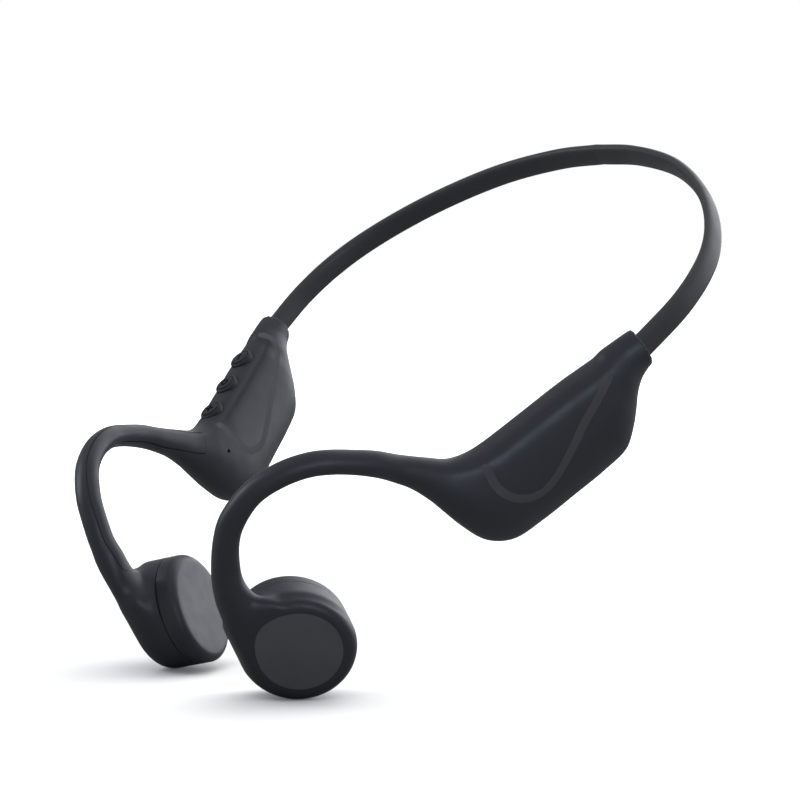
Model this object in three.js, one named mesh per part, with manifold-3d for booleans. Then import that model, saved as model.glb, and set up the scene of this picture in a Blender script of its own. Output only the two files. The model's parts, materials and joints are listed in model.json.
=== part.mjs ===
// Bone conduction headphones: two ear units joined by a flexible neckband.
//
// Millimetres, +Z up, +X to the wearer's left, -Y the way the wearer faces.  The headset rests on its
// two pods with the neckband raised behind it.  The origin is at floor level under the middle of the
// bounding box.
//
// Three nested frames are used, all for the left unit; the right unit is its mirror image:
//   headset frame  the neckband is level, tipped back into the resting pose by BAND_TILT
//   arm frame      origin where the ear hook meets the housing, +X outward, +Y back along the housing
//   pod frame      origin at the middle of the pod's outer face, +Z outward, +Y up

import * as THREE from 'three';
import { mergeVertices } from 'three/addons/utils/BufferGeometryUtils.js';
import Module from 'manifold-3d';

const wasm = await Module();
wasm.setup();

const DEG = Math.PI / 180;
const GAP = 0.3;                       // clearance between neighbouring pieces

// Placement
const BAND_TILT = 41.2 * DEG;
const ARM_ORIGIN = new THREE.Vector3(44.4, 45.3, 20.9);
const ARM_YAW = 22.2 * DEG;
const POD_ORIGIN = new THREE.Vector3(-2.0, -44.4, -12.6);
const POD_YAW = 15.8 * DEG;
const POD_PITCH = 4.7 * DEG;

// Neckband
const BAND_LEVEL = 15.1;
const BAND_HEIGHT = 4.9;
const BAND_THICKNESS = 2.3;
const BAND_PATH = [
  [58.5, 77.5], [60.0, 93.1], [56.8, 105.6], [46.2, 119.2], [29.0, 131.0], [12.1, 136.2], [0, 137.2],
];
const CHANNEL_RADIUS = 0.75;
const CHANNEL_OFFSET = 1.1;            // wire above, cable below the band's middle
const WIRE_RADIUS = 0.4;

// Ear hook
const HOOK_HALF = 2.45;
const HOOK_CORE_RADIUS = 0.6;
const STRIP_HALF_WIDTH = 1.5;
const STRIP_DEPTH = 0.8;

// Housing
const WALL = 1.4;
const SPLIT_X = -1.0;                  // the inner cover meets the outer shell in this plane
const SPINE_TOP = -1.8;
const BUTTON_STATIONS = [6.3, 14.7, 23.1];
const BUTTON_SHIFT = -0.3;             // the row sits a little toward the head
const BUTTON_RADIUS = 2.4;
const BUTTON_RISE = 0.6;
const BUTTON_NAMES = ['volume_up', 'play', 'volume_down'];

// Pod
const POD_RADIUS = 10.9;
const POD_DEPTH = 12.6;
const POD_LEAN = [-2.4, -0.1];         // the pad's centre sits ahead of the disc's centre
const POD_SEAM = 8.3;
const POD_WALL = 1.2;
const DISC_RADIUS = 8.1;
const PAD_RADIUS = 9.05;

// ---------------------------------------------------------------- materials

const finish = (color, roughness, metalness = 0) =>
  new THREE.MeshStandardMaterial({ color, roughness, metalness });

const softTouch = () => finish(0x2a2b30, 0.62);
const bandRubber = () => finish(0x343636, 0.7);
const padSilicone = () => finish(0x33353b, 0.5);
const discPlastic = () => finish(0x343236, 0.5);
const buttonRubber = () => finish(0x2e3036, 0.55);
const titanium = () => finish(0x9a9b9e, 0.35, 1);
const steel = () => finish(0xa9abb0, 0.3, 1);
const copper = () => finish(0xb5703c, 0.4, 1);
const magnetPlate = () => finish(0xc4c6ca, 0.22, 1);
const cableSheath = () => finish(0x1c1c1e, 0.6);
const boardGreen = () => finish(0x1f5b3a, 0.5);
const cellFoil = () => finish(0xb9bcc2, 0.35, 0.8);
const foamGrey = () => finish(0x47484c, 0.95);
const lightPipe = () => finish(0xd8dde4, 0.3);
const contactGold = () => finish(0xc9a24a, 0.3, 1);

// ---------------------------------------------------------------- geometry helpers

/** A closed three.js geometry as a solid for cutting and joining. */
function solid(geometry, matrix) {
  const bare = geometry.clone();
  if (matrix) bare.applyMatrix4(matrix);
  bare.deleteAttribute('normal');
  bare.deleteAttribute('uv');
  const merged = mergeVertices(bare, 1e-4);
  return new wasm.Manifold(new wasm.Mesh({
    numProp: 3,
    vertProperties: new Float32Array(merged.attributes.position.array),
    triVerts: new Uint32Array(merged.index.array),
  }));
}

/** A solid back as a three.js geometry. */
function surface(body) {
  const mesh = body.getMesh();
  const geometry = new THREE.BufferGeometry();
  geometry.setAttribute('position', new THREE.BufferAttribute(mesh.vertProperties, 3));
  geometry.setIndex(new THREE.BufferAttribute(mesh.triVerts, 1));
  return geometry;
}

/** The same closed surface with its faces turned to point out, whichever way it was drawn. */
function facingOut(geometry) {
  const points = geometry.attributes.position;
  const index = geometry.index.array;
  const corner = (i) => new THREE.Vector3().fromBufferAttribute(points, index[i]);
  let volume = 0;
  for (let i = 0; i < index.length; i += 3) {
    volume += corner(i).dot(corner(i + 1).cross(corner(i + 2)));
  }
  if (volume < 0) geometry.setIndex(Array.from(index).reverse());
  return geometry;
}

/** Closed skin through equal rings of points, with a flat fan on each end. */
function loft(rings) {
  const count = rings[0].length;
  const points = rings.flat();
  const faces = [];
  for (let r = 0; r < rings.length - 1; r += 1) {
    for (let k = 0; k < count; k += 1) {
      const a = r * count + k;
      const b = r * count + (k + 1) % count;
      faces.push(a, b, b + count, a, b + count, a + count);
    }
  }
  const last = (rings.length - 1) * count;
  for (let k = 1; k < count - 1; k += 1) {
    faces.push(0, k + 1, k, last, last + k, last + k + 1);
  }
  const geometry = new THREE.BufferGeometry().setFromPoints(points);
  geometry.setIndex(faces);
  return facingOut(geometry);
}

/** Solid of revolution about +Z from [radius, z] points that start and end on the axis or close. */
function turned(profile, segments = 32) {
  const outline = profile.map(([radius, z]) => new THREE.Vector2(radius, z));
  return facingOut(new THREE.LatheGeometry(outline, segments).rotateX(Math.PI / 2));
}

/** Plain disc or rod about +Z between two heights. */
function rod(radius, low, high, segments = 32) {
  return turned([[0, low], [radius, low], [radius, high], [0, high]], segments);
}

/** Plain ring about +Z between two heights. */
function ring(inner, outer, low, high, segments = 32) {
  return turned([[inner, low], [outer, low], [outer, high], [inner, high], [inner, low]], segments);
}

function box(width, depth, height, x, y, z) {
  return new THREE.BoxGeometry(width, depth, height).translate(x, y, z);
}

/** Oval ring of points around a centre, along two half-axis vectors. */
function ovalRing(centre, halfA, halfB, count, power = 2.4) {
  const points = [];
  for (let k = 0; k < count; k += 1) {
    const angle = (2 * Math.PI * k) / count;
    const c = Math.cos(angle);
    const s = Math.sin(angle);
    const scale = (Math.abs(c) ** power + Math.abs(s) ** power) ** (-1 / power);
    points.push(centre.clone().addScaledVector(halfA, c * scale).addScaledVector(halfB, s * scale));
  }
  return points;
}

function mesh(name, geometry, material) {
  const piece = new THREE.Mesh(geometry, material);
  piece.name = name;
  return piece;
}

// --------------------------------------------------------- arm: hook and housing as one flowing form

const podBasis = (() => {
  const back = new THREE.Vector3(Math.sin(POD_YAW), Math.cos(POD_YAW), 0);
  const outward = new THREE.Vector3(
    Math.cos(POD_YAW) * Math.cos(POD_PITCH),
    -Math.sin(POD_YAW) * Math.cos(POD_PITCH),
    Math.sin(POD_PITCH),
  );
  const up = new THREE.Vector3().crossVectors(outward, back);
  return new THREE.Matrix4().makeBasis(back, up, outward).setPosition(POD_ORIGIN);
})();

/** Oblique barrel: slides every level of the pod sideways in proportion to its depth. */
const podLean = new THREE.Matrix4().set(
  1, 0, -POD_LEAN[0] / POD_DEPTH, 0,
  0, 1, -POD_LEAN[1] / POD_DEPTH, 0,
  0, 0, 1, 0,
  0, 0, 0, 1,
);

const inPod = (x, y, z) => new THREE.Vector3(x, y, z).applyMatrix4(podBasis);
const at = (x, y, z) => new THREE.Vector3(x, y, z);

// Centre line of the hook, from inside the pod's outer plate, over the ear, to the housing:
// [centre, half height in the hook's plane, half width across it]
const HOOK_STATIONS = [
  [inPod(-4.4, 5.4, -2.1), 5.4, 2.1],
  [inPod(-5.0, 11.8, -2.4), 4.1, 2.5],
  [inPod(-4.0, 17.8, -2.5), 3.1, 2.5],
  [at(-6.1, -45.2, 8.4), 2.6, HOOK_HALF],
  [at(-5.5, -42.3, 12.5), 2.4, HOOK_HALF],
  [at(-4.7, -39.4, 15.2), 2.4, HOOK_HALF],
  [at(-3.1, -33.6, 17.8), 2.2, HOOK_HALF],
  [at(-1.6, -27.4, 17.8), 2.2, HOOK_HALF],
  [at(-0.7, -22.9, 16.5), 2.2, HOOK_HALF],
  [at(-0.1, -20.0, 14.9), 2.2, HOOK_HALF],
  [at(0.2, -16.7, 12.2), 2.2, HOOK_HALF],
  [at(0.3, -13.4, 8.9), 2.4, HOOK_HALF],
];

// Housing, hook end to collar end: [top y, top z, bottom y, bottom z, half width, fullness].
// Fullness 0 is a plain oval, 1 is the full section: narrow rounded spine, valley, wide flank.
const HOUSING_STATIONS = [
  [-8.7, 6.9, -12.9, 3.9, 2.5, 0],
  [-5.6, 3.6, -11.1, 0.8, 2.8, 0.1],
  [-2.6, 0.6, -9.6, -3.4, 3.3, 0.3],
  [-0.5, -0.6, -8.7, -7.3, 3.9, 0.6],
  [2.0, -1.4, -7.7, -11.6, 4.5, 0.85],
  [4.5, -1.7, -5.6, -17.0, 4.9, 1],
  [8.0, SPINE_TOP, -1.6, -20.2, 5.1, 1],
  [11.4, SPINE_TOP, 4.7, -20.9, 5.1, 1],
  [15.5, SPINE_TOP, 12.2, -20.9, 5.1, 1],
  [19.3, SPINE_TOP, 19.6, -20.8, 5.1, 1],
  [23.2, -1.9, 25.0, -20.1, 5.1, 1],
  [26.0, -2.1, 28.1, -17.6, 5.0, 0.9],
  [28.6, -2.2, 30.7, -14.7, 4.5, 0.7],
  [29.7, -2.2, 32.8, -12.1, 4.3, 0.4],
  [31.4, -1.8, 34.9, -10.5, 3.8, 0.1],
  [34.4, -1.8, 36.8, -9.8, 3.4, 0],
  [38.1, -2.1, 37.7, -9.5, 3.4, 0],
];
const FULL_HALF_WIDTH = 5.1;
const FULL_HEIGHT = 19.6;

// Full section, top to bottom on one side: [half width, depth below the spine]
const FULL_SECTION = [
  [0, 0], [2.2, 0.4], [3.3, 1.5], [3.5, 2.7], [4.4, 5.6],
  [5.1, 10.5], [4.4, 15], [2.6, 18.6], [0, FULL_HEIGHT],
];
const OVAL_ANGLES = [0, 26, 48, 68, 90, 112, 135, 158, 180];

const armRails = (() => {
  const hookPlaneNormal = at(0.958, -0.287, 0);
  const hookLine = new THREE.CatmullRomCurve3(HOOK_STATIONS.map(([centre]) => centre));
  const tops = [];
  const bottoms = [];
  const shape = [];
  HOOK_STATIONS.forEach(([centre, half, width], index) => {
    const tangent = hookLine.getTangent(index / (HOOK_STATIONS.length - 1));
    const up = new THREE.Vector3().crossVectors(hookPlaneNormal, tangent).normalize();
    tops.push(centre.clone().addScaledVector(up, half));
    bottoms.push(centre.clone().addScaledVector(up, -half));
    shape.push(at(width, 0, 0));
  });
  HOUSING_STATIONS.forEach(([topY, topZ, bottomY, bottomZ, width, fullness]) => {
    tops.push(at(0, topY, topZ));
    bottoms.push(at(0, bottomY, bottomZ));
    shape.push(at(width, fullness, 0));
  });
  return {
    top: new THREE.CatmullRomCurve3(tops),
    bottom: new THREE.CatmullRomCurve3(bottoms),
    shape: new THREE.CatmullRomCurve3(shape),
    last: tops.length - 1,
  };
})();

const HOUSING_START = HOOK_STATIONS.length;      // station number where the housing begins
const HOUSING_END = armRails.last;

/** Centre, half-axis directions and shape of the arm at a station number, which may be fractional. */
function armStation(number) {
  const t = number / armRails.last;
  const top = armRails.top.getPoint(t);
  const bottom = armRails.bottom.getPoint(t);
  const shape = armRails.shape.getPoint(t);
  const middle = (u) => armRails.top.getPoint(u).add(armRails.bottom.getPoint(u));
  const ahead = middle(Math.min(t + 0.004, 1));
  const tangent = ahead.sub(middle(Math.max(t - 0.004, 0))).normalize();
  const up = top.clone().sub(bottom);
  const height = up.length();
  up.normalize();
  const outward = new THREE.Vector3().crossVectors(tangent, up).normalize();
  return { top, up, outward, height, halfWidth: shape.x, fullness: THREE.MathUtils.clamp(shape.y, 0, 1) };
}

/** Section outline of the arm at a station, shrunk on all sides by an inset. */
function armRing(number, inset = 0) {
  const { top, up, outward, height, halfWidth, fullness } = armStation(number);
  const side = FULL_SECTION.map(([fullWidth, fullDepth], index) => {
    const angle = OVAL_ANGLES[index] * DEG;
    const squeeze = Math.min(1, height / FULL_HEIGHT);
    const lower = fullDepth > 5 ? (fullDepth - 5) / (FULL_HEIGHT - 5) : 0;
    const depthFull = fullDepth > 5 ? 5 * squeeze + lower * (height - 5 * squeeze) : fullDepth * squeeze;
    const widthFull = (fullWidth / FULL_HALF_WIDTH) * halfWidth;
    const width = THREE.MathUtils.lerp(halfWidth * Math.sin(angle), widthFull, fullness);
    const depth = THREE.MathUtils.lerp((height * (1 - Math.cos(angle))) / 2, depthFull, fullness);
    return [Math.max(width - inset, 0), inset + (depth * (height - 2 * inset)) / height];
  });
  const point = (x, depth) => top.clone().addScaledVector(outward, x).addScaledVector(up, -depth);
  const outer = side.map(([width, depth]) => point(width, depth));
  const inner = side.slice(1, -1).reverse().map(([width, depth]) => point(-width, depth));
  return [...outer, ...inner];
}

/** Loft of the arm between two station numbers. */
function armLoft(from, to, steps, inset = 0) {
  const rings = [];
  for (let i = 0; i <= steps; i += 1) rings.push(armRing(from + ((to - from) * i) / steps, inset));
  return loft(rings);
}

/** Round rod that follows the middle of the hook. */
function hookRod(radius, from, to, steps, count) {
  const rings = [];
  for (let i = 0; i <= steps; i += 1) {
    const { top, up, outward, height } = armStation(from + ((to - from) * i) / steps);
    const centre = top.clone().addScaledVector(up, -Math.min(height / 2, 3.2));
    const half = outward.clone().multiplyScalar(radius);
    rings.push(ovalRing(centre, half, up.clone().multiplyScalar(radius), count, 2));
  }
  return loft(rings);
}

/** Flat ribbon let into the head side of the hook; negative lift sinks its face below the surface. */
function hookRibbon(halfHeight, depth, lift, from, to, steps) {
  const rings = [];
  for (let i = 0; i <= steps; i += 1) {
    const { top, up, outward, height, halfWidth } = armStation(from + ((to - from) * i) / steps);
    const centre = top.clone().addScaledVector(up, -height / 2);
    const face = -(halfWidth + lift);
    const floor = -(halfWidth - depth);
    const corner = (x, y) => centre.clone().addScaledVector(outward, x).addScaledVector(up, y);
    rings.push([
      corner(face, halfHeight), corner(floor, halfHeight),
      corner(floor, -halfHeight), corner(face, -halfHeight),
    ]);
  }
  return loft(rings);
}

// ---------------------------------------------------------------- neckband

const bandCurve = new THREE.CatmullRomCurve3(BAND_PATH.map(([x, y]) => at(x, y, BAND_LEVEL)));

const BAND_STOP = 0.998;               // the two halves stop short of the symmetry plane
const BEVEL_START = 0.985;
const BEVEL_SCALE = 0.6;

/** Oval rod along the band between two fractions of its path, raised by an offset. */
function bandSweep(halfThickness, halfHeight, offset, options) {
  const { from = 0, to = 1, steps = 20, count = 10, bevel = false } = options;
  const bandRing = (t, scale) => {
    const centre = bandCurve.getPoint(t).add(at(0, 0, offset));
    const tangent = bandCurve.getTangent(t);
    const across = at(tangent.y, -tangent.x, 0).multiplyScalar(halfThickness * scale);
    return ovalRing(centre, at(0, 0, halfHeight * scale), across, count);
  };
  const rings = [];
  for (let i = 0; i <= steps; i += 1) rings.push(bandRing(from + ((to - from) * i) / steps, 1));
  if (bevel) rings.push(bandRing(BAND_STOP, BEVEL_SCALE));
  return loft(rings);
}

function bandPieces(side) {
  const halfThickness = BAND_THICKNESS / 2;
  const jacket = solid(bandSweep(halfThickness, BAND_HEIGHT / 2, 0, { to: BEVEL_START, bevel: true }));
  const channel = (offset) => solid(bandSweep(
    CHANNEL_RADIUS, CHANNEL_RADIUS, offset, { steps: 16, count: 4 }));
  const hollow = jacket.subtract(channel(CHANNEL_OFFSET)).subtract(channel(-CHANNEL_OFFSET));
  const core = (offset) => bandSweep(
    WIRE_RADIUS, WIRE_RADIUS, offset, { from: 0.002, to: 0.985, steps: 16, count: 5 });
  return [
    mesh(`neckband_jacket_${side}`, surface(hollow), bandRubber()),
    mesh(`neckband_spring_wire_${side}`, core(CHANNEL_OFFSET), titanium()),
    mesh(`neckband_cable_${side}`, core(-CHANNEL_OFFSET), cableSheath()),
  ];
}

// ---------------------------------------------------------------- ear hook

const HOOK_END = HOUSING_START + 2.4;  // the hook skin meets the housing here
const STATION_GAP = 0.09;              // about GAP along the arm

function podClearance() {
  return solid(rod(POD_RADIUS + GAP, -POD_DEPTH - 1, 3, 28).applyMatrix4(podLean), podBasis);
}

function hookPieces(side) {
  const skin = solid(armLoft(0, HOOK_END - STATION_GAP, 18));
  const bore = solid(hookRod(HOOK_CORE_RADIUS + GAP, 0, HOOK_END + 0.3, 16, 6));
  const groove = solid(hookRibbon(STRIP_HALF_WIDTH + GAP, STRIP_DEPTH + GAP, 1.5, 2.2, HOOK_END - 0.4, 14));
  const shell = skin.subtract(podClearance()).subtract(bore).subtract(groove);
  return [
    mesh(`${side}_hook_skin`, surface(shell), softTouch()),
    mesh(`${side}_hook_core_wire`, hookRod(HOOK_CORE_RADIUS, 1.9, HOOK_END + 1.2, 16, 6), titanium()),
    mesh(`${side}_hook_strip`, hookRibbon(STRIP_HALF_WIDTH, STRIP_DEPTH, 0.02, 2.35, HOOK_END - 0.55, 14),
      softTouch()),
  ];
}

// ---------------------------------------------------------------- housing

const armFrame = new THREE.Matrix4().makeRotationZ(-ARM_YAW).setPosition(ARM_ORIGIN);
const headsetToArm = armFrame.clone().invert();

function housingPieces(side) {
  const start = HOOK_END + STATION_GAP;
  let body = solid(armLoft(start, HOUSING_END, 17));
  const hollow = solid(armLoft(start + 1.1, HOUSING_END - 1.6, 10, WALL));
  const mouth = solid(bandSweep(
    BAND_THICKNESS / 2 + GAP, BAND_HEIGHT / 2 + GAP, 0, { to: 0.2, steps: 4 }), headsetToArm);
  const coreHole = solid(hookRod(HOOK_CORE_RADIUS + GAP, HOOK_END - 0.3, HOOK_END + 2.6, 6, 6));
  body = body.subtract(hollow).subtract(mouth).subtract(coreHole);
  if (side === 'right') body = cutRightOpenings(body);
  const half = 40;
  const outerKeep = solid(box(half, 120, 80, SPLIT_X + GAP / 2 + half / 2, 10, -5));
  const innerKeep = solid(box(half, 120, 80, SPLIT_X - GAP / 2 - half / 2, 10, -5));
  return [
    mesh(`${side}_housing_shell`, surface(body.intersect(outerKeep)), softTouch()),
    mesh(`${side}_housing_cover`, surface(body.intersect(innerKeep)), softTouch()),
  ];
}

const MIC_PLACE = { y: -1.4, z: -7.8 };
const MIC_HOLE_RADIUS = 0.45;
const CONTACT_STATIONS = [9, 14];
const CONTACT_RADIUS = 0.9;
const CONTACT_SHIFT = 1.2;
const LIGHT_STATION = 18.5;
const LIGHT_RADIUS = 0.7;

function cutRightOpenings(body) {
  let cut = body;
  BUTTON_STATIONS.forEach((y) => {
    const hole = rod(BUTTON_RADIUS + GAP, SPINE_TOP - WALL - 1.5, SPINE_TOP + 2, 18);
    cut = cut.subtract(solid(hole.translate(BUTTON_SHIFT, y, 0)));
  });
  const micHole = rod(MIC_HOLE_RADIUS, -8, 0, 12).rotateY(Math.PI / 2);
  cut = cut.subtract(solid(micHole.translate(-0.6, MIC_PLACE.y, MIC_PLACE.z)));
  CONTACT_STATIONS.forEach((y) => {
    cut = cut.subtract(solid(rod(CONTACT_RADIUS + GAP, -24, -15, 16).translate(CONTACT_SHIFT, y, 0)));
  });
  const lightHole = rod(LIGHT_RADIUS + GAP, -24, -15, 12).translate(CONTACT_SHIFT, LIGHT_STATION, 0);
  return cut.subtract(solid(lightHole));
}

// ---------------------------------------------------------------- pod and its exciter

function podPieces(side) {
  const inner = POD_RADIUS - POD_WALL;
  const front = -2.2;
  const shellOutline = [
    [0, -1.1], [DISC_RADIUS + GAP, -1.1], [DISC_RADIUS + GAP, 0], [9.2, -0.35], [10.3, -1.3],
    [POD_RADIUS, -2.8], [POD_RADIUS, -POD_SEAM + GAP / 2], [inner, -POD_SEAM + GAP / 2],
    [inner, front], [0, front],
  ];
  const leadHole = solid(rod(0.9, 0, 8, 12).rotateX(-Math.PI / 2).translate(-4.4, 6.5, -3.8));
  const shell = solid(turned(shellOutline, 28)).subtract(leadHole);
  const seam = -POD_SEAM - GAP / 2;
  const face = -POD_DEPTH;
  const capOutline = [
    [inner, seam], [PAD_RADIUS + GAP, face + 0.1], [9.75, face + 0.1], [10.4, face + 0.6],
    [POD_RADIUS, face + 1.6], [POD_RADIUS, seam], [inner, seam],
  ];
  const padOutline = [
    [0, face], [PAD_RADIUS - 0.2, face], [PAD_RADIUS, face + 0.2], [PAD_RADIUS, face + 1.1],
    [0, face + 1.1],
  ];
  const yokeOutline = [
    [0, -2.8], [6.4, -2.8], [6.4, -8.0], [5.7, -8.0], [5.7, -3.7], [0, -3.7],
  ];
  const armatureOutline = [
    [0, -11.15], [1.6, -11.15], [1.6, -10.6], [8.2, -10.6], [8.2, -10.0], [0, -10.0],
  ];
  const pieces = [
    mesh(`${side}_pod_shell`, surface(shell), softTouch()),
    mesh(`${side}_pod_disc`, rod(DISC_RADIUS, -0.8, 0, 28), discPlastic()),
    mesh(`${side}_pod_cap`, turned(capOutline, 28), softTouch()),
    mesh(`${side}_vibration_pad`, turned(padOutline, 28), padSilicone()),
    mesh(`${side}_exciter_yoke`, turned(yokeOutline, 16), steel()),
    mesh(`${side}_exciter_magnet`, rod(3.8, -7.4, -4.0, 16), magnetPlate()),
    mesh(`${side}_exciter_coil`, ring(4.3, 5.3, -9.6, -4.8, 16), copper()),
    mesh(`${side}_exciter_armature`, turned(armatureOutline, 16), steel()),
    mesh(`${side}_exciter_spring`, ring(6.8, 9.2, -7.6, -7.3, 16), steel()),
  ];
  pieces.forEach((piece) => piece.geometry.applyMatrix4(podLean));
  return pieces;
}

// ---------------------------------------------------------------- electronics

function buttonPieces() {
  const top = SPINE_TOP + BUTTON_RISE;
  const foot = SPINE_TOP - 1.9;
  const outline = [
    [0, foot], [1.1, foot], [1.1, SPINE_TOP - 0.9], [BUTTON_RADIUS, SPINE_TOP - 0.9],
    [BUTTON_RADIUS, top - 0.4], [BUTTON_RADIUS - 0.5, top], [0, top],
  ];
  return BUTTON_STATIONS.map((y, index) =>
    mesh(
      `button_${BUTTON_NAMES[index]}`,
      turned(outline, 18).translate(BUTTON_SHIFT, y, 0),
      buttonRubber(),
    ));
}

function rightElectronics() {
  const switchTop = SPINE_TOP - 2.45;
  const pieces = BUTTON_STATIONS.map((y, index) =>
    mesh(`tact_switch_${BUTTON_NAMES[index]}`, box(2.4, 2.6, 0.7, 0, y, switchTop - 0.35), steel()));
  pieces.push(mesh('button_board', box(3, 21, 0.5, 0, BUTTON_STATIONS[1], switchTop - 0.7 - GAP - 0.25),
    boardGreen()));
  pieces.push(mesh('main_board', box(0.8, 18, 8.5, 0.9, 13, -11), boardGreen()));
  pieces.push(mesh('radio_shield', box(1.1, 7, 6, -0.35, 16, -11), steel()));
  pieces.push(mesh('microphone', box(1.5, 3, 2.4, -1.3, MIC_PLACE.y + 0.8, MIC_PLACE.z), steel()));
  CONTACT_STATIONS.forEach((y, index) => pieces.push(
    mesh(
      `charge_contact_${index + 1}`,
      rod(CONTACT_RADIUS, -20.3, -17.6, 16).translate(CONTACT_SHIFT, y, 0),
      contactGold())));
  const light = rod(LIGHT_RADIUS, -20.2, -18, 12).translate(CONTACT_SHIFT, LIGHT_STATION, 0);
  pieces.push(mesh('status_light', light, lightPipe()));
  return pieces;
}

function leftElectronics() {
  return [
    mesh('battery_cell', box(4.0, 17, 9, 0.4, 12.5, -11), cellFoil()),
    mesh('battery_foam', box(0.6, 13, 6, -2.2, 12.5, -11), foamGrey()),
    mesh('battery_board', box(2.6, 11, 0.6, 0, 13, -5.6), boardGreen()),
  ];
}

// ---------------------------------------------------------------- assembly

function unit(side) {
  const half = new THREE.Group();
  if (side === 'right') half.scale.x = -1;
  half.add(...bandPieces(side));

  const arm = new THREE.Group();
  arm.position.copy(ARM_ORIGIN);
  arm.rotation.z = -ARM_YAW;
  arm.add(...hookPieces(side), ...housingPieces(side));
  if (side === 'right') arm.add(...buttonPieces(), ...rightElectronics());
  else arm.add(...leftElectronics());
  half.add(arm);

  const pod = new THREE.Group();
  pod.position.copy(POD_ORIGIN);
  pod.quaternion.setFromRotationMatrix(podBasis);
  pod.add(...podPieces(side));
  arm.add(pod);
  return half;
}

const headset = new THREE.Group();
headset.rotation.x = BAND_TILT;
headset.add(unit('left'), unit('right'));
const extent = new THREE.Box3().setFromObject(headset, true);
headset.position.set(0, -(extent.min.y + extent.max.y) / 2, -extent.min.z);

const part = new THREE.Group();
part.add(headset);

export default part;
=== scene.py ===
"""Looks of the bone conduction headphones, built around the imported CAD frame.

Shapes are drawn in millimetres in the same nested frames as the CAD, for the left unit. The right unit is
its mirror image, with the buttons, the microphone hole, the charging contacts and the status light as well.

  headset frame  the neckband is level
  arm frame      origin where the ear hook meets the housing, +X outward, +Y back along the housing
  pod frame      origin at the middle of the pod's outer face, +X back, +Y up, +Z outward
"""

import json
import math

import bpy
import numpy as np
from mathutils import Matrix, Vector

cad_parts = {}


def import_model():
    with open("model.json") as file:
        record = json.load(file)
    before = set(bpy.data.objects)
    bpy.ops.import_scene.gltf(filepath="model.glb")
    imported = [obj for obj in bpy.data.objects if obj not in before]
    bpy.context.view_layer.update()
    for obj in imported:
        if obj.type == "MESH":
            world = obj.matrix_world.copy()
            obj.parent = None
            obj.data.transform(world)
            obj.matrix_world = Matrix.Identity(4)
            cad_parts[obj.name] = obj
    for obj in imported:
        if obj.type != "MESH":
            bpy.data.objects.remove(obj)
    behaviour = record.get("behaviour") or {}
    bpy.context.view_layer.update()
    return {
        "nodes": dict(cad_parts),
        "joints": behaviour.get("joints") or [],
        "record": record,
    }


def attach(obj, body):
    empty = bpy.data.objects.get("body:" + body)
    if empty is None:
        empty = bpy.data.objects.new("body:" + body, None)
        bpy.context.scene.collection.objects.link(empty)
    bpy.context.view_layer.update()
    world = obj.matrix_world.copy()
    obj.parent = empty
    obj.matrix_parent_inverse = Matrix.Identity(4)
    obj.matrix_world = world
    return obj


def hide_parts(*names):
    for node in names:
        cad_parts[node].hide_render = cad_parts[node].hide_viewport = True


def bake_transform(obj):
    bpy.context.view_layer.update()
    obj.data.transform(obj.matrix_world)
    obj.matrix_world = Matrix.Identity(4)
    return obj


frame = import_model()

# ---------------------------------------------------------------- sizes that several pieces share

MM = 0.001
POD_RADIUS = 10.9
POD_DEPTH = 12.6                       # from the outer face to the pad
POD_SEAM = 8.3                         # depth of the seam between the pod's body and its vibrating cap
DISC_RADIUS = 7.8
CAP_GAP = 0.12                         # the cap vibrates 0.1 mm each way
SEAM_GAP = 0.14                        # open seam round the hook inlay
FINE_GAP = 0.01                        # closed seam round the flush inserts
SPINE_TOP = -1.8                       # height of the housing's spine
BUTTONS = {"volume_up": 6.3, "play": 14.7, "volume_down": 23.1}     # places along the spine
BUTTON_SHIFT = -0.3
BUTTON_RADIUS = 2.55
MICROPHONE = (-1.4, -7.8)              # place on the housing's head side: back and up
CONTACTS = {"charge_contact_1": 9, "charge_contact_2": 14}          # places along the underside
CONTACT_SHIFT = 1.2
LIGHT_PLACE = 18.5

# ---------------------------------------------------------------- frames

BAND_BACK = (0, 137.2, 15.1)           # middle of the neckband in the headset frame, where it flexes
ARM_ORIGIN = (44.4, 45.3, 20.9)
ARM_YAW = math.radians(22.2)
POD_ORIGIN = (-2.0, -44.4, -12.6)
POD_YAW = math.radians(15.8)
POD_PITCH = math.radians(4.7)
POD_LEAN = (-2.4, -0.1)                # the pad's centre relative to the disc's centre

joints = {joint["name"]: joint for joint in frame["joints"]}


def shift(offset):
    matrix = np.eye(4)
    matrix[:3, 3] = offset
    return matrix


def turn(axis, angle):
    first, second = {"x": (1, 2), "z": (0, 1)}[axis]
    matrix = np.eye(4)
    matrix[first, first] = matrix[second, second] = math.cos(angle)
    matrix[second, first] = math.sin(angle)
    matrix[first, second] = -math.sin(angle)
    return matrix


def headset_frame():
    """Headset millimetres to row metres, hung on the CAD joint at the middle of the neckband."""
    flex = joints["neckband_flex"]
    tilt = math.atan2(-flex["axis"][1], flex["axis"][2])
    scale = np.diag([MM, MM, MM, 1])
    return shift(flex["pos_m"]) @ turn("x", tilt) @ scale @ shift([-value for value in BAND_BACK])


def pod_frame():
    """Pod frame to arm frame, with the barrel's lean."""
    back = np.array([math.sin(POD_YAW), math.cos(POD_YAW), 0])
    outward = np.array([
        math.cos(POD_YAW) * math.cos(POD_PITCH),
        -math.sin(POD_YAW) * math.cos(POD_PITCH),
        math.sin(POD_PITCH),
    ])
    matrix = np.eye(4)
    matrix[:3, 0] = back
    matrix[:3, 1] = np.cross(outward, back)
    matrix[:3, 2] = outward
    matrix[:3, 3] = POD_ORIGIN
    lean = np.eye(4)
    lean[0, 2] = -POD_LEAN[0] / POD_DEPTH
    lean[1, 2] = -POD_LEAN[1] / POD_DEPTH
    return matrix, matrix @ lean


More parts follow.
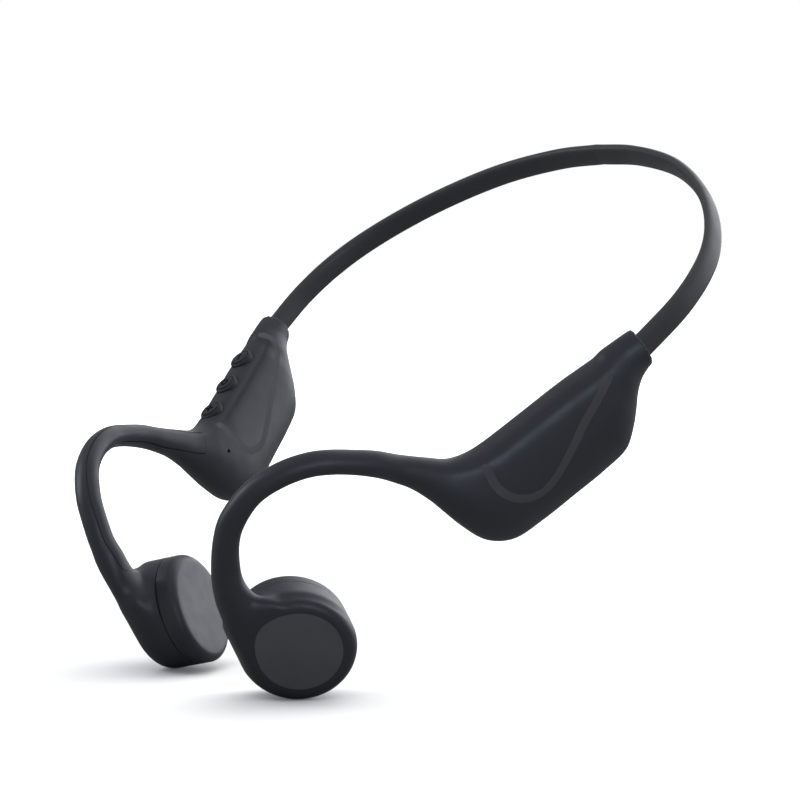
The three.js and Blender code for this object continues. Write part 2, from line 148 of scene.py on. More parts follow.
HEADSET = headset_frame()
ARM = HEADSET @ shift(ARM_ORIGIN) @ turn("z", -ARM_YAW)
POD, LEANING_POD = pod_frame()
MIRROR = np.diag([-1, 1, 1, 1])
SIDES = {"left": np.eye(4), "right": MIRROR}


def moved(points, matrix):
    return np.asarray(points, float) @ matrix[:3, :3].T + matrix[:3, 3]


def carried(shape, matrix):
    """A (points, faces) shape moved by a matrix."""
    points, faces = shape
    return moved(points, matrix), faces


# ---------------------------------------------------------------- curves and solids as (points, faces)

UP = np.array([0, 0, 1])
AXIS_RADIUS = 0.02                     # a profile that reaches its axis ends in a facet this small


def spline(points, t):
    """Centripetal Catmull-Rom curve through points at fractions t of its spans, as the CAD draws it."""
    points = np.asarray(points, float)
    last = len(points) - 1
    place = np.clip(np.atleast_1d(t), 0, 1) * last
    index = np.minimum(place.astype(int), last - 1)
    weight = (place - index)[:, None]
    padded = np.vstack([2 * points[0] - points[1], points, 2 * points[-1] - points[-2]])
    p0, p1, p2, p3 = (padded[index + k] for k in range(4))

    def step(a, b):
        return np.maximum(((a - b) ** 2).sum(1) ** 0.25, 1e-4)[:, None]

    d0, d1, d2 = step(p0, p1), step(p1, p2), step(p2, p3)
    m1 = ((p1 - p0) / d0 - (p2 - p0) / (d0 + d1) + (p2 - p1) / d1) * d1
    m2 = ((p2 - p1) / d1 - (p3 - p1) / (d1 + d2) + (p3 - p2) / d2) * d1
    square = 3 * (p2 - p1) - 2 * m1 - m2
    cube = 2 * (p1 - p2) + m1 + m2
    return p1 + m1 * weight + square * weight ** 2 + cube * weight ** 3


def unit(vectors):
    return vectors / np.linalg.norm(vectors, axis=-1, keepdims=True)


def smoothstep(value, low, high):
    t = np.clip((value - low) / (high - low), 0, 1)
    return t * t * (3 - 2 * t)


def window(value, low, full, fading, high):
    """Rises from 0 to 1 between low and full, and falls back between fading and high."""
    return smoothstep(value, low, full) * (1 - smoothstep(value, fading, high))


def circle(radius, height, angles):
    """Points round the Z axis, where the radius and the height may change with the angle."""
    return np.column_stack([radius * np.cos(angles), radius * np.sin(angles), height + 0 * angles])


def round_angles(count):
    return np.arange(count) * 2 * math.pi / count


def triangles(faces):
    for face in faces:
        for k in range(1, len(face) - 1):
            yield face[0], face[k], face[k + 1]


def loft(rings, closed=False):
    """Quad skin through equal rings, with a face over each end unless the last ring joins the first."""
    rings = np.asarray(rings, float)
    count, around = rings.shape[:2]
    points = rings.reshape(-1, 3)
    faces = []
    for ring in range(count if closed else count - 1):
        here, there = ring * around, (ring + 1) % count * around
        for k in range(around):
            beside = (k + 1) % around
            faces.append((here + k, here + beside, there + beside, there + k))
    if not closed:
        faces.append(tuple(range(around))[::-1])
        faces.append(tuple(range((count - 1) * around, count * around)))
    corners = points[np.array(list(triangles(faces)))]
    volume = (corners[:, 0] * np.cross(corners[:, 1], corners[:, 2])).sum()
    return points, (faces if volume > 0 else [face[::-1] for face in faces])


def turned(profile, segments=96):
    """Solid of revolution about +Z from [radius, z] points; both ends on the axis, or a closed loop."""
    profile = np.asarray(profile, float)
    closed = np.allclose(profile[0], profile[-1])
    if closed:
        profile = profile[:-1]
    angles = round_angles(segments)
    return loft([circle(max(radius, AXIS_RADIUS), z, angles) for radius, z in profile], closed)


def drum(radius, low, high, segments=96):
    """Plain round solid about +Z."""
    return turned([(0, low), (radius, low), (radius, high), (0, high)], segments)


def prism(outline, low, high, axis):
    """Closed prism along an axis (0 for X, 2 for Z) from an outline in the other two coordinates."""
    return loft([np.insert(outline, axis, height, axis=1) for height in (low, high)])


def rounded(corners, closed=False, steps=6):
    """Profile with each [x, y, radius] corner replaced by a small curve of about that radius."""
    corners = [list(c) + [0] * (3 - len(c)) for c in corners]
    count = len(corners)
    out = []
    for i, (x, y, radius) in enumerate(corners):
        here = np.array([x, y])
        if radius == 0 or (not closed and i in (0, count - 1)):
            out.append(here)
            continue
        before = np.array(corners[i - 1][:2]) - here
        after = np.array(corners[(i + 1) % count][:2]) - here
        reach = min(radius, 0.45 * np.linalg.norm(before), 0.45 * np.linalg.norm(after))
        start, end = here + unit(before) * reach, here + unit(after) * reach
        for t in np.linspace(0, 1, steps + 1):
            out.append((1 - t) ** 2 * start + 2 * t * (1 - t) * here + t * t * end)
    if closed:
        out.append(out[0])
    return np.array(out)


# ---------------------------------------------------------------- mesh helpers


def new_mesh(name, points, faces):
    mesh = bpy.data.meshes.new(name)
    mesh.from_pydata([tuple(p) for p in points], [], [tuple(int(i) for i in f) for f in faces])
    mesh.validate()
    mesh.update()
    return mesh


def new_object(name, shape):
    """An object in the scene from (points, faces) or a mesh."""
    mesh = shape if isinstance(shape, bpy.types.Mesh) else new_mesh(name, *shape)
    item = bpy.data.objects.new(name, mesh)
    bpy.context.scene.collection.objects.link(item)
    return item


def discard(*items):
    for item in items:
        mesh = item.data
        bpy.data.objects.remove(item)
        bpy.data.meshes.remove(mesh)


def with_modifier(item, kind, **settings):
    """Adds a modifier, applies it and leaves the result as the object's own mesh."""
    modifier = item.modifiers.new(kind, kind)
    for key, value in settings.items():
        setattr(modifier, key, value)
    bpy.context.view_layer.update()
    graph = bpy.context.evaluated_depsgraph_get()
    result = bpy.data.meshes.new_from_object(item.evaluated_get(graph))
    item.modifiers.clear()
    old = item.data
    item.data = result
    bpy.data.meshes.remove(old)
    return item


def combine(mesh, operation, *shapes):
    """A mesh cut by, or cut down to, other closed shapes in turn."""
    item = new_object("work", mesh.copy())
    for shape in shapes:
        tool = new_object("tool", shape.copy() if isinstance(shape, bpy.types.Mesh) else shape)
        with_modifier(item, "BOOLEAN", object=tool, operation=operation, solver="MANIFOLD")
        discard(tool)
    result = item.data
    bpy.data.objects.remove(item)
    return result


def coordinates(mesh):
    flat = np.empty(len(mesh.vertices) * 3)
    mesh.vertices.foreach_get("co", flat)
    return flat.reshape(-1, 3)


def set_coordinates(mesh, points):
    mesh.vertices.foreach_set("co", np.asarray(points, float).ravel())
    mesh.update()


def normals(mesh):
    flat = np.empty(len(mesh.vertices) * 3)
    mesh.vertices.foreach_get("normal", flat)
    return flat.reshape(-1, 3)


SHARP_ANGLE = math.radians(40)         # edges sharper than this stay crisp


def placed(name, shape, side, matrix, body, slot, *nodes, look=None):
    """A finished piece: a shape drawn for the left unit, moved into the row frame and set on its body.

    The nodes are the CAD nodes that it stands for. It has the look of its slot unless another is named.
    """
    mesh = shape.copy() if isinstance(shape, bpy.types.Mesh) else new_mesh(name, *shape)
    mesh.name = name
    set_coordinates(mesh, moved(coordinates(mesh), SIDES[side] @ matrix))
    if side == "right":
        mesh.flip_normals()
    mesh.shade_smooth()
    mesh.set_sharp_from_angle(angle=SHARP_ANGLE)
    mesh.materials.clear()
    mesh.materials.append(LOOKS[look or slot])
    piece = new_object(name, mesh)
    if body:
        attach(piece, body)
    if nodes:
        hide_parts(*nodes)
    return piece


# ---------------------------------------------------------------- materials

GRAIN_DEPTH = 0.000004                 # metres
COOL_SHEEN = (0.86, 0.92, 1, 1)


class Look:
    """A node material being built: add nodes by type and wire them by name."""

    def __init__(self, name):
        self.material = bpy.data.materials.new(name)
        self.material.use_nodes = True
        self.tree = self.material.node_tree
        self.shader = self.tree.nodes["Principled BSDF"]
        self.place = self.add("ShaderNodeTexCoord").outputs["Object"]

    def add(self, kind, **inputs):
        node = self.tree.nodes.new(kind)
        for key, value in inputs.items():
            self.put(node.inputs[key.replace("_", " ")], value)
        return node

    def put(self, socket, value):
        if isinstance(value, bpy.types.NodeSocket):
            self.tree.links.new(value, socket)
        else:
            socket.default_value = value

    def noise(self, size, detail=3.0, stretch=(1, 1, 1)):
        """Soft noise whose blotches are about size metres across."""
        mapping = self.add("ShaderNodeMapping", Vector=self.place, Scale=stretch)
        place = mapping.outputs["Vector"]
        return self.add("ShaderNodeTexNoise", Vector=place, Scale=1 / size, Detail=detail).outputs["Fac"]

    def span(self, value, low, high, start=0.3, stop=0.7):
        """Maps a value from start..stop to low..high."""
        node = self.add("ShaderNodeMapRange", Value=value)
        node.inputs["From Min"].default_value = start
        node.inputs["From Max"].default_value = stop
        node.inputs["To Min"].default_value = low
        node.inputs["To Max"].default_value = high
        return node.outputs["Result"]

    def mix(self, factor, first, second):
        node = self.tree.nodes.new("ShaderNodeMix")
        node.data_type = "RGBA"
        self.put(node.inputs["Factor"], factor)
        self.put(node.inputs["A"], (*first, 1) if isinstance(first, (tuple, list)) else first)
        self.put(node.inputs["B"], (*second, 1) if isinstance(second, (tuple, list)) else second)
        return node.outputs["Result"]

    def bump(self, height, strength, distance):
        node = self.add("ShaderNodeBump", Height=height, Strength=strength, Distance=distance)
        self.put(self.shader.inputs["Normal"], node.outputs["Normal"])

    def set(self, **inputs):
        for key, value in inputs.items():
            self.put(self.shader.inputs[key.replace("_", " ")], value)


def shade(color, factor):
    return tuple(channel * factor for channel in color)


def moulded(name, color, roughness, grain=0.00012, specular=0.5):
    """Fine-grained moulded plastic or rubber: grain bump, uneven roughness, faint mottling."""
    look = Look(name)
    mottle = look.noise(0.009, 2.0)
    base = look.mix(look.span(mottle, 0, 1), shade(color, 0.94), shade(color, 1.07))
    fine = look.noise(grain, 2.0)
    look.set(Base_Color=base, Roughness=look.span(look.noise(0.003), roughness - 0.03, roughness + 0.04),
             Specular_IOR_Level=specular, Specular_Tint=COOL_SHEEN)
    look.bump(fine, 0.35, GRAIN_DEPTH)
    return look.material


def brushed(name, color, roughness, stretch=(1, 1, 12)):
    """Drawn or plated metal with fine lines."""
    look = Look(name)
    lines = look.noise(0.0004, 3.0, stretch)
    tone = look.mix(look.span(lines, 0, 1), shade(color, 0.82), shade(color, 1.08))
    look.set(Base_Color=tone, Metallic=1.0, Roughness=look.span(lines, roughness - 0.06, roughness + 0.1))
    look.bump(lines, 0.25, 0.000005)
    return look.material


def winding(name, color):
    """Enamelled wire wound in fine turns."""
    look = Look(name)
    wave = look.add("ShaderNodeTexWave", Vector=look.place, Scale=900.0, Distortion=0.6)
    look.set(Base_Color=look.mix(wave.outputs["Fac"], shade(color, 0.6), shade(color, 1.1)), Metallic=1.0,
             Roughness=0.35)
    look.bump(wave.outputs["Fac"], 0.6, 0.00003)
    return look.material


def solder_mask(name, color):
    """Circuit board: glossy mask with faint traces and copper pads showing through."""
    look = Look(name)
    cells = look.add("ShaderNodeTexVoronoi", Vector=look.place, Scale=900.0)
    cells.distance = "MANHATTAN"
    traces = look.span(cells.outputs["Distance"], 0, 1, 0.05, 0.12)
    look.set(Base_Color=look.mix(traces, (0.35, 0.24, 0.09), color), Roughness=0.3, Coat_Weight=0.4)
    look.bump(traces, 0.4, 0.00002)
    return look.material


def open_foam(name, color):
    look = Look(name)
    cells = look.add("ShaderNodeTexVoronoi", Vector=look.place, Scale=2600.0)
    pores = cells.outputs["Distance"]
    look.set(Base_Color=look.mix(pores, shade(color, 0.4), shade(color, 1.3)), Roughness=0.95)
    look.bump(pores, 0.8, 0.0001)
    return look.material


def frosted(name, color):
    look = Look(name)
    cloud = look.noise(0.0006)
    look.set(Base_Color=look.mix(look.span(cloud, 0, 1), shade(color, 0.85), color),
             Roughness=look.span(cloud, 0.25, 0.4), Transmission_Weight=0.35, Coat_Weight=0.3)
    look.bump(cloud, 0.2, 0.00001)
    return look.material


LOOKS = {
    "soft_touch_shell": moulded("soft_touch_shell", (0.02, 0.0207, 0.0262), 0.44),
    "band_rubber": moulded("band_rubber", (0.036, 0.037, 0.0385), 0.46, grain=0.0002, specular=0.35),
    "pad_silicone": moulded("pad_silicone", (0.02, 0.0207, 0.0262), 0.42, grain=0.00015),
    "disc_insert": moulded("disc_insert", (0.07, 0.067, 0.076), 0.5, grain=0.00008),
    "stripe_satin": moulded("stripe_satin", (0.068, 0.069, 0.075), 0.8, grain=0.00006, specular=0.06),
    "button_rubber": moulded("button_rubber", (0.024, 0.025, 0.029), 0.55, specular=0.25),
    "button_mark": moulded("button_mark", (0.002, 0.002, 0.0022), 0.8, specular=0.05),
    "titanium_wire": brushed("titanium_wire", (0.38, 0.38, 0.39), 0.32),
    "steel": brushed("steel", (0.42, 0.43, 0.45), 0.3),
    "magnet": brushed("magnet", (0.55, 0.56, 0.58), 0.2),
    "copper_coil": winding("copper_coil", (0.46, 0.18, 0.06)),
    "cable_sheath": moulded("cable_sheath", (0.012, 0.012, 0.013), 0.55),
    "circuit_board": solder_mask("circuit_board", (0.014, 0.105, 0.045)),
    "gold_contact": brushed("gold_contact", (0.6, 0.4, 0.12), 0.25),
    "light_pipe": frosted("light_pipe", (0.6, 0.64, 0.7)),
    "cell_foil": brushed("cell_foil", (0.5, 0.51, 0.53), 0.35, (1, 1, 3)),
    "foam": open_foam("foam", (0.06, 0.06, 0.065)),
}

# ---------------------------------------------------------------- arm: hook and housing


def in_pod(x, y, z):
    return tuple(moved([x, y, z], POD))


# Centre line of the hook from the pod's outer plate to the housing: centre, half height, half width
HOOK_STATIONS = [
    (in_pod(-4.4, 5.4, -2.1), 5.4, 2.1),
    (in_pod(-4.8, 11.8, -2.35), 4.1, 2.6),
    (in_pod(-3.65, 17.8, -2.3), 2.9, 2.8),
    ((-6.1, -45.2, 8.4), 2.6, 2.45),
    ((-5.5, -42.3, 12.5), 2.4, 2.45),
    ((-4.7, -39.4, 15.2), 2.4, 2.45),
    ((-3.1, -33.6, 17.8), 2.2, 2.45),
    ((-1.6, -27.4, 17.8), 2.2, 2.45),
    ((-0.7, -22.9, 16.5), 2.2, 2.45),
    ((-0.1, -20.0, 14.9), 2.2, 2.45),
    ((0.2, -16.7, 12.2), 2.2, 2.45),
    ((0.3, -13.4, 8.9), 2.4, 2.45),
]

# Housing from the hook to the collar: top y, top z, bottom y, bottom z, half width, fullness of the section
HOUSING_STATIONS = [
    (-8.7, 6.9, -12.9, 3.9, 2.5, 0),
    (-5.6, 3.6, -11.1, 0.8, 2.8, 0.1),
    (-2.6, 0.6, -9.6, -3.4, 3.3, 0.3),
    (-0.5, -0.6, -8.7, -7.3, 3.9, 0.6),
    (2.0, -1.4, -7.7, -11.6, 4.5, 0.85),
    (4.5, -1.7, -5.6, -17.0, 4.9, 1),
    (8.0, SPINE_TOP, -1.6, -20.2, 5.1, 1),
    (11.4, SPINE_TOP, 4.7, -20.9, 5.1, 1),
    (15.5, SPINE_TOP, 12.2, -20.9, 5.1, 1),
    (19.3, SPINE_TOP, 19.6, -20.8, 5.1, 1),
    (23.2, -1.9, 25.0, -20.1, 5.1, 1),
    (26.0, -2.1, 28.1, -17.6, 5.0, 0.95),
    (28.6, -2.2, 30.7, -14.7, 4.5, 0.85),
    (29.7, -2.2, 32.8, -12.1, 4.3, 0.65),
    (31.4, -1.8, 34.9, -10.5, 3.8, 0.3),
    (34.4, -1.8, 36.8, -9.8, 3.4, 0),
    (38.1, -2.1, 37.7, -9.5, 3.4, 0),
]
STATION_LAST = len(HOOK_STATIONS) + len(HOUSING_STATIONS) - 1
HOOK_PLANE_NORMAL = np.array([0.958, -0.287, 0])

# Full housing section: half width, depth below the spine, and the matching angle on a plain oval
FULL_HEIGHT = 19.6
FULL_WIDTH = 5.1
OUTER_SECTION = [
    (0, 0, 0), (1.2, 0.09, 16), (2.1, 0.34, 28), (2.7, 0.74, 37), (3.05, 1.1, 44), (3.4, 1.38, 50),
    (3.75, 1.85, 56), (4.05, 2.45, 61), (4.3, 3.2, 66), (4.5, 4.2, 71), (4.85, 6.8, 81),
    (5.1, 10.3, 95), (4.8, 13.2, 112), (3.9, 16.3, 132), (2.2, 18.9, 156), (0, FULL_HEIGHT, 180),
]
INNER_SECTION = [
    (0, 0, 0), (1.3, 0.12, 16), (2.2, 0.42, 28), (2.85, 0.95, 39), (3.25, 1.6, 48), (3.4, 2.1, 54),
    (3.5, 2.4, 58), (3.95, 2.65, 62), (4.3, 3.5, 67), (4.6, 4.9, 73), (4.9, 7.2, 82),
    (5.1, 10.3, 95), (4.8, 13.2, 112), (3.9, 16.3, 132), (2.2, 18.9, 156), (0, FULL_HEIGHT, 180),
]
UPPER_BAND = 5.0                       # the spine and valley keep their own height above this depth


def arm_rails():
    """Top line, bottom line and section shape of the arm as points for splines over the station number."""
    places, half_heights, half_widths = zip(*HOOK_STATIONS)
    centres, half = np.array(places), np.array(half_heights)[:, None]
    t = np.linspace(0, 1, len(centres))
    nudge = 1e-4
    ahead = spline(centres, np.minimum(t + nudge, 1)) - spline(centres, np.maximum(t - nudge, 0))
    up = unit(np.cross(HOOK_PLANE_NORMAL, ahead))
    top_y, top_z, bottom_y, bottom_z, half_width, fullness = np.array(HOUSING_STATIONS, float).T
    zero = np.zeros(len(HOUSING_STATIONS))
    top = np.vstack([centres + up * half, np.column_stack([zero, top_y, top_z])])
    bottom = np.vstack([centres - up * half, np.column_stack([zero, bottom_y, bottom_z])])
    shape = np.vstack([
        [(width, 0, 0) for width in half_widths],
        np.column_stack([half_width, fullness, zero]),
    ])
    return top, bottom, shape


RAILS = arm_rails()


def arm_stations(numbers):
    """Top point, up and outward directions, height, half width and fullness at station numbers."""
    t = np.atleast_1d(numbers) / STATION_LAST
    top, bottom, shape = (spline(rail, t) for rail in RAILS)

    def middle(fraction):
        return spline(RAILS[0], fraction) + spline(RAILS[1], fraction)

    nudge = 0.004
    ahead = unit(middle(np.minimum(t + nudge, 1)) - middle(np.maximum(t - nudge, 0)))
    up = top - bottom
    height = np.linalg.norm(up, axis=1)
    up = up / height[:, None]
    outward = unit(np.cross(ahead, up))
    return top, up, outward, height, shape[:, 0], np.clip(shape[:, 1], 0, 1)


def side_outline(section, samples, height, half_width, fullness):
    """Width and depth of one side of the section at each station."""
    s = np.linspace(0, 1, samples)
    full = spline([(width, depth, 0) for width, depth, _ in section], s)
    angle = np.radians(spline([(degrees, 0, 0) for _, _, degrees in section], s)[:, 0])
    squeeze = np.minimum(1, height / FULL_HEIGHT)[:, None]
    depth = full[None, :, 1]
    lower = (depth - UPPER_BAND) / (FULL_HEIGHT - UPPER_BAND)
    stretched = UPPER_BAND * squeeze + lower * (height[:, None] - UPPER_BAND * squeeze)
    depth_full = np.where(depth > UPPER_BAND, stretched, depth * squeeze)
    width_full = full[None, :, 0] / FULL_WIDTH * half_width[:, None]
    blend = fullness[:, None]
    width = half_width[:, None] * np.sin(angle)[None] * (1 - blend) + width_full * blend
    fall = height[:, None] * (1 - np.cos(angle))[None] / 2 * (1 - blend) + depth_full * blend
    return width, fall


def arm_skin(rings=260, samples=56):
    """Hook and housing as one loft from the pod's outer plate to the collar."""
    numbers = np.linspace(0, STATION_LAST, rings)
    top, up, outward, height, half_width, fullness = arm_stations(numbers)
    outer_w, outer_d = side_outline(OUTER_SECTION, samples, height, half_width, fullness)
    inner_w, inner_d = side_outline(INNER_SECTION, samples, height, half_width, fullness)

    def place(width, fall):
        return top[:, None] + outward[:, None] * width[..., None] - up[:, None] * fall[..., None]

    outer = place(outer_w, outer_d)
    inner = place(-inner_w, inner_d)[:, -2:0:-1]
    return loft(np.concatenate([outer, inner], 1))


# ---------------------------------------------------------------- pod body

# Rim of the pod body, radius and height: where the plate's edge stands clear of the barrel, and elsewhere
GROOVED_RIM = [
    (8.7, 0), (9.35, -0.25), (9.85, -0.7), (10.15, -1.2), (10.15, -1.6), (10.3, -2.0), (10.55, -2.5),
    (10.8, -3.1), (POD_RADIUS, -3.9), (POD_RADIUS, -5.4), (POD_RADIUS, -POD_SEAM),
]
PLAIN_RIM = [
    (8.7, 0), (9.5, -0.25), (10.2, -0.9), (10.6, -1.7), (10.8, -2.4), (POD_RADIUS, -3.0),
    (POD_RADIUS, -3.8), (POD_RADIUS, -4.6), (POD_RADIUS, -5.4), (POD_RADIUS, -6.4), (POD_RADIUS, -POD_SEAM),
]
ROOT_REACH = 3.2                       # how far the plate's edge is drawn out toward the hook
ROOT_ANGLES = (70, 101)                # that starts and is full at these angles round the pod, degrees
TANGENT_ANGLE = 170                    # and runs out here, where a straight edge meets the round rim
SEAM_OVERRUN = 1.6                     # the body is drawn past the seam and cut there, for a crisp edge


def groove_share(angle):
    """How far the plate stands clear of the barrel at an angle round the pod: over the top and the back."""
    degrees = (np.degrees(angle) + 180) % 360 - 180
    return window(degrees, -20, 25, 90, 135)


def root_reach(angle, height):
    """How far the teardrop plate reaches beyond a round one at an angle and height, toward the hook."""
    degrees = np.degrees(angle)
    to_tangent = np.radians(np.clip(TANGENT_ANGLE - degrees, 0, 80))     # short of a right angle
    straight = POD_RADIUS * (1 / np.cos(to_tangent) - 1)
    outline = np.minimum(straight, ROOT_REACH) * smoothstep(degrees, *ROOT_ANGLES)
    front = smoothstep(degrees, 100, 125)
    lowest, full = -4.2 - 3.8 * front, -1.8 - 3.2 * front     # it reaches further down the barrel in front
    return outline * smoothstep(height, lowest, full)


def pod_skin(segments=180):
    """The pod's outer plate and barrel."""
    angles = round_angles(segments)
    share = groove_share(angles)
    rings = [circle(radius, 0.0, angles) for radius in (AXIS_RADIUS, 4, 8)]
    fine = np.linspace(0, 1, 41)
    grooved = spline([(r, z, 0) for r, z in GROOVED_RIM], fine)
    plain = spline([(r, z, 0) for r, z in PLAIN_RIM], fine)
    for (r1, z1, _), (r0, z0, _) in zip(grooved, plain):
        height = z0 + (z1 - z0) * share
        radius = r0 + (r1 - r0) * share + root_reach(angles, height)
        rings.append(circle(radius, height, angles))
    floor = -POD_SEAM - SEAM_OVERRUN
    rings += [circle(radius, floor, angles) for radius in (POD_RADIUS, 6, AXIS_RADIUS)]
    return carried(loft(rings), LEANING_POD)


# ---------------------------------------------------------------- one flowing skin

VOXEL = 0.28
SMOOTHING_STEPS = (0.55, -0.57)        # in and out again, so that the form keeps its size


def neighbours(mesh):
    """Each edge both ways, as two lists of point numbers."""
    edges = np.empty(len(mesh.edges) * 2, int)
    mesh.edges.foreach_get("vertices", edges)
    edges = edges.reshape(-1, 2)
    return np.concatenate([edges[:, 0], edges[:, 1]]), np.concatenate([edges[:, 1], edges[:, 0]])


def neighbour_mean(points, here, there, count):
    """Mean place of the neighbours of each of count points."""
    degree = np.bincount(here, minlength=count)[:, None]
    total = np.column_stack([np.bincount(here, points[there, k], count) for k in range(3)])
    return total / degree


def polish(mesh, rounds):
    """Takes the voxel ripple out without shrinking the form."""
    here, there = neighbours(mesh)
    points = coordinates(mesh)
    for _ in range(rounds):
        for weight in SMOOTHING_STEPS:
            points = points + weight * (neighbour_mean(points, here, there, len(points)) - points)
    set_coordinates(mesh, points)


def fill_creases(mesh, share, rounds):
    """Fills concave creases into soft fillets where the share is above zero: points only move outward."""
    here, there = neighbours(mesh)
    active = np.flatnonzero(share > 0)
    slot = np.full(len(share), -1)
    slot[active] = np.arange(len(active))
    inside = slot[here] >= 0
    here, there = slot[here[inside]], there[inside]
    points = coordinates(mesh)
    for number in range(rounds):
        if number % 5 == 0:            # the normals change slowly
            set_coordinates(mesh, points)
            outward = normals(mesh)[active]
        to_mean = neighbour_mean(points, here, there, len(active)) - points[active]
        lift = np.maximum((to_mean * outward).sum(1), 0) * share[active]
        points[active] += outward * (0.9 * lift)[:, None]
    set_coordinates(mesh, points)


def soften(mesh, share, rounds):
    """Evens out lumps where the share is above zero."""
    here, there = neighbours(mesh)
    points = coordinates(mesh)
    for _ in range(rounds):
        to_mean = neighbour_mean(points, here, there, len(points)) - points
        points = points + (0.5 * share)[:, None] * to_mean
    set_coordinates(mesh, points)


def remeshed(name, shape, voxel):
    """A shape as one even voxel skin."""
    item = with_modifier(new_object(name, shape), "REMESH", mode="VOXEL", voxel_size=voxel)
    mesh = item.data
    bpy.data.objects.remove(item)
    return mesh


def inset(mesh, depth):
    """Closed surface that runs at a depth below another one."""
    core = mesh.copy()
    set_coordinates(core, coordinates(mesh) - normals(mesh) * depth)
    return remeshed("inset", core, VOXEL * 1.2)


def joined(*shapes):
    """Several (points, faces) shapes as one."""
    points, faces, count = [], [], 0
    for shape_points, shape_faces in shapes:
        points.append(shape_points)
        faces += [tuple(i + count for i in face) for face in shape_faces]
        count += len(shape_points)
    return np.vstack(points), faces


def fairing_zones(mesh):
    """Shares from 0 to 1 for each point: near the pod, in its concave corners, and at the hook's root."""
    local = moved(coordinates(mesh), np.linalg.inv(POD))
    radius = np.hypot(local[:, 0], local[:, 1])
    angle = np.degrees(np.arctan2(local[:, 1], local[:, 0]))
    near = (1 - smoothstep(radius, 15, 21)) * (1 - smoothstep(8.2 - radius, 0, 1))
    crotch = smoothstep(angle, 85, 108) * (local[:, 1] > 0)
    front = smoothstep(-local[:, 0], 2, 6) * (local[:, 1] < 12)
    above_seam = smoothstep(local[:, 2], -7.9, -6.6)
    root = window(angle, 78, 95, 160, 175) * (window(radius, 9.5, 10.8, 15, 18) * above_seam)
    return near, near * np.maximum(crotch, front), root


def unit_skin():
    """The left unit's outer skin: hook, housing and pod body as one closed surface, in the arm frame."""
    mesh = remeshed("skin", joined(arm_skin(), pod_skin()), VOXEL)
    polish(mesh, 6)
    near, corners, root = fairing_zones(mesh)
    fill_creases(mesh, corners, 260)
    fill_creases(mesh, near, 25)
    soften(mesh, root, 60)
    polish(mesh, 3)
    return mesh


# ---------------------------------------------------------------- inlays and openings

STRIPE_HALF_WIDTH = 0.8
STRIPE_DEPTH = 0.5
STRIPE_PATHS = {
    "outer": [
        (1.7, -3.7), (1.2, -7.0), (2.0, -10.2), (4.2, -12.8), (7.4, -14.0), (10.6, -13.4), (15.8, -10.9),
        (20.8, -8.2), (25.5, -6.1), (29.2, -4.5),
    ],
    "inner": [
        (2.4, -3.6), (2.0, -6.2), (2.0, -9.2), (3.4, -12.2), (7.0, -14.0), (10.4, -13.4), (15.4, -11.4),
        (20.9, -9.3), (25.0, -7.9), (28.6, -6.7), (30.9, -5.2), (31.5, -3.7), (31.3, -2.7),
    ],
}
FLANKS = {"outer": (1.2, 8.0), "inner": (-8.0, -1.2)}     # the X range that holds each flank


def ribbon_outline(path, half_width, samples=90):
    """Outline of a ribbon with round ends along a path in the plane."""
    centre = spline([(y, z, 0) for y, z in path], np.linspace(0, 1, samples))[:, :2]
    ahead = unit(np.gradient(centre, axis=0))
    across = np.column_stack([-ahead[:, 1], ahead[:, 0]]) * half_width
    arc = np.linspace(0, math.pi, 9)[1:-1, None]
    end = centre[-1] + across[-1] * np.cos(arc) + ahead[-1] * half_width * np.sin(arc)
    start = centre[0] - across[0] * np.cos(arc) - ahead[0] * half_width * np.sin(arc)
    return np.vstack([centre + across, end, (centre - across)[::-1], start])


def stripe_space(flank, core, grow=0.0):
    """Space of a stripe: a ribbon through one flank, no deeper than the core just under the skin."""
    outline = ribbon_outline(STRIPE_PATHS[flank], STRIPE_HALF_WIDTH + grow)
    ribbon = new_mesh("ribbon", *prism(outline, *FLANKS[flank], axis=0))
    return combine(ribbon, "DIFFERENCE", core)


INLAY_START, INLAY_END = 1.5, 14.7     # station numbers
INLAY_POINT = 0.35                     # its first end narrows to a round point over this many stations
INLAY_CORNER = 0.2                     # its other end has round corners over this many
CORNER_SIZE = 0.8
END_SEAM = 12                          # the seam past the last ring, where the rings run slantwise
INLAY_FLOOR = 0.42                     # depth of its bed, as a share of the hook's half width
# Upper and lower edge of the hook inlay as a share of the section's height: station, upper, lower
INLAY_EDGES = [
    (INLAY_START, 0.22, 0.7), (3, 0.14, 0.84), (6, 0.1, 0.9), (11, 0.1, 0.9), (13, 0.12, 0.8),
    (INLAY_END, 0.14, 0.62),
]


def quarter_round(fraction):
    """Height of a quarter circle, from 0 to 1, at fractions of its run."""
    return np.sqrt(np.maximum(1 - (1 - np.clip(fraction, 0, 1)) ** 2, 0.0))


